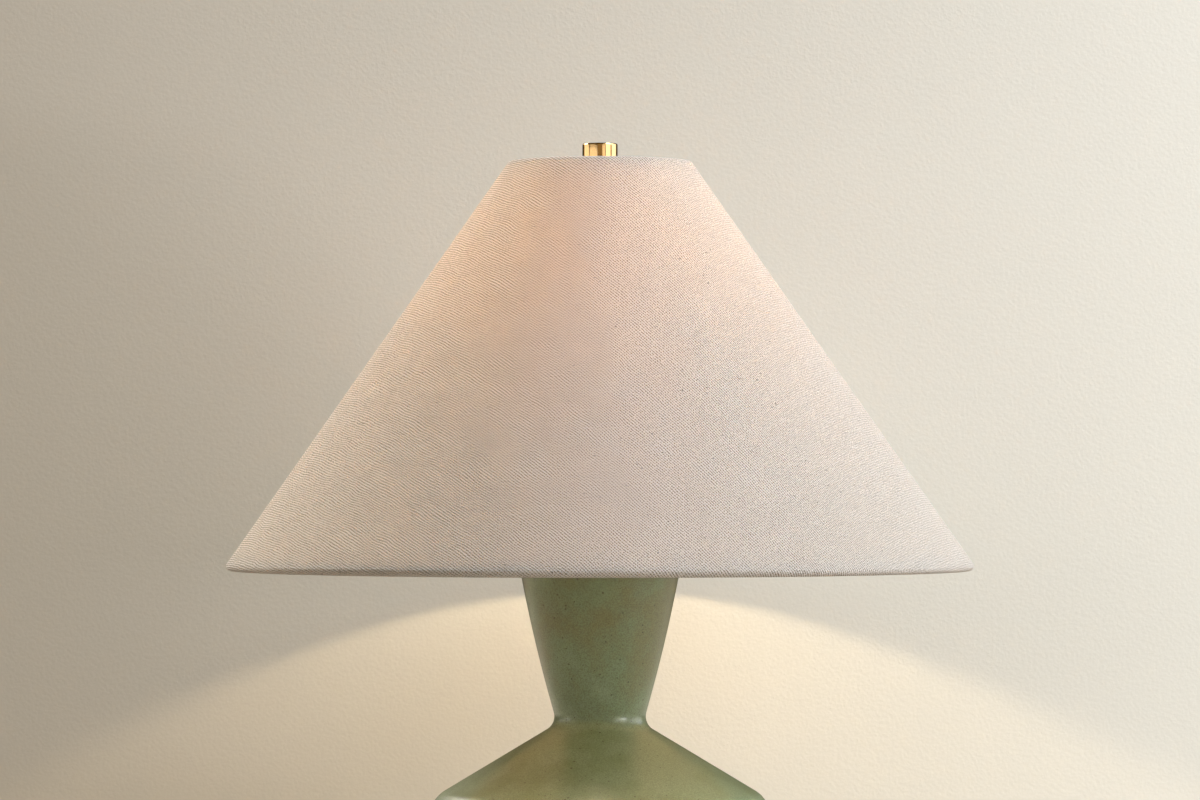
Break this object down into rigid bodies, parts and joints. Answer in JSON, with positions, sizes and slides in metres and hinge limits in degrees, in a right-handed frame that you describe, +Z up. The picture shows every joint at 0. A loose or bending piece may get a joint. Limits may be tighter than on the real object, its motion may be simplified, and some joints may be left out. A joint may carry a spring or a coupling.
{
  "type": "amphora table lamp",
  "caption": "Table lamp with an angular amphora body in satin glaze, a wide conical fabric shade on a harp, a turn switch and a plain round finial.",
  "frame": {"origin": "centre of the felt pad's underside", "axes": "+Z up along the lamp's axis, the turn switch faces -Y and the cord inlet +Y"},
  "size_m": [0.508, 0.508, 0.6604],
  "materials": {
    "sage_glaze": "satin reactive glaze with fine speckle",
    "felt": "pressed wool felt",
    "bushing_nylon": "moulded nylon",
    "zinc_steel": "zinc plated",
    "gasket_rubber": "moulded",
    "satin_brass": "satin brushed and lacquered",
    "harp_steel": "brass plated wire",
    "linen": "slub linen and cotton weave",
    "liner_styrene": "pressure sensitive styrene",
    "ring_steel": "white enamel",
    "lampholder_brass": "brass plated shell",
    "liner_card": "vulcanised fibre",
    "phenolic": "moulded phenolic",
    "screw_brass": "bare stamped brass",
    "knob_phenolic": "moulded phenolic",
    "bulb_cap_metal": "rolled thread",
    "bulb_black": "glassy insulator",
    "bulb_white": "moulded housing",
    "board_aluminium": "white solder mask",
    "led_phosphor": "phosphor",
    "opal_globe": "frosted opal"
  },
  "bodies": {
    "base": {"felt_pad": "felt", "ceramic_body": "sage_glaze", "cord_bushing": "bushing_nylon", "base_plate": "zinc_steel", "base_washer": "zinc_steel", "base_nut": "zinc_steel", "lamp_rod": "zinc_steel", "cap_gasket": "gasket_rubber", "vase_cap": "satin_brass", "check_ring": "satin_brass", "harp_saddle": "harp_steel", "harp_wire": "harp_steel", "harp_hub": "satin_brass", "socket_cap": "lampholder_brass", "socket_shell": "lampholder_brass", "socket_liner": "liner_card", "socket_core_base": "phenolic", "socket_core": "phenolic", "terminal_screws": "screw_brass", "screw_shell": "screw_brass", "centre_contact": "screw_brass"},
    "swivel": {"harp_stud": "satin_brass"},
    "shade": {"shade_cover": "linen", "shade_liner": "liner_styrene", "spider_frame": "ring_steel", "bottom_ring": "ring_steel"},
    "finial": {"finial": "satin_brass"},
    "ferrule_left": {"ferrule_left": "satin_brass"},
    "ferrule_right": {"ferrule_right": "satin_brass"},
    "switch": {"switch_rotor": "bushing_nylon", "switch_shaft": "screw_brass", "switch_knob": "knob_phenolic"},
    "bulb": {"bulb_tip": "screw_brass", "bulb_insulator": "bulb_black", "bulb_cap": "bulb_cap_metal", "bulb_housing": "bulb_white", "led_board": "board_aluminium", "led_chips": "led_phosphor", "bulb_globe": "opal_globe"}
  },
  "joints": [
    {"name": "shade_swivel", "type": "hinge", "parent": "base", "child": "swivel", "pos_m": [0, 0, 0.6319], "axis": [0, 0, 1], "continuous": true},
    {"name": "shade_lift", "type": "slide", "parent": "swivel", "child": "shade", "axis": [0, 0, 1], "range_m": [0, 0.29]},
    {"name": "finial_turn", "type": "hinge", "parent": "shade", "child": "finial", "pos_m": [0, 0, 0.636], "axis": [0, 0, 1], "continuous": true},
    {"name": "ferrule_left_lift", "type": "slide", "parent": "base", "child": "ferrule_left", "axis": [0, 0, 1], "range_m": [0, 0.0145]},
    {"name": "ferrule_right_lift", "type": "slide", "parent": "base", "child": "ferrule_right", "axis": [0, 0, 1], "range_m": [0, 0.0145]},
    {"name": "switch_turn", "type": "hinge", "parent": "base", "child": "switch", "pos_m": [0, -0.0195, 0.41585], "axis": [0, -1, 0], "continuous": true},
    {"name": "bulb_turn", "type": "hinge", "parent": "base", "child": "bulb", "pos_m": [0, 0, 0.45], "axis": [0, 0, 1], "continuous": true}
  ]
}
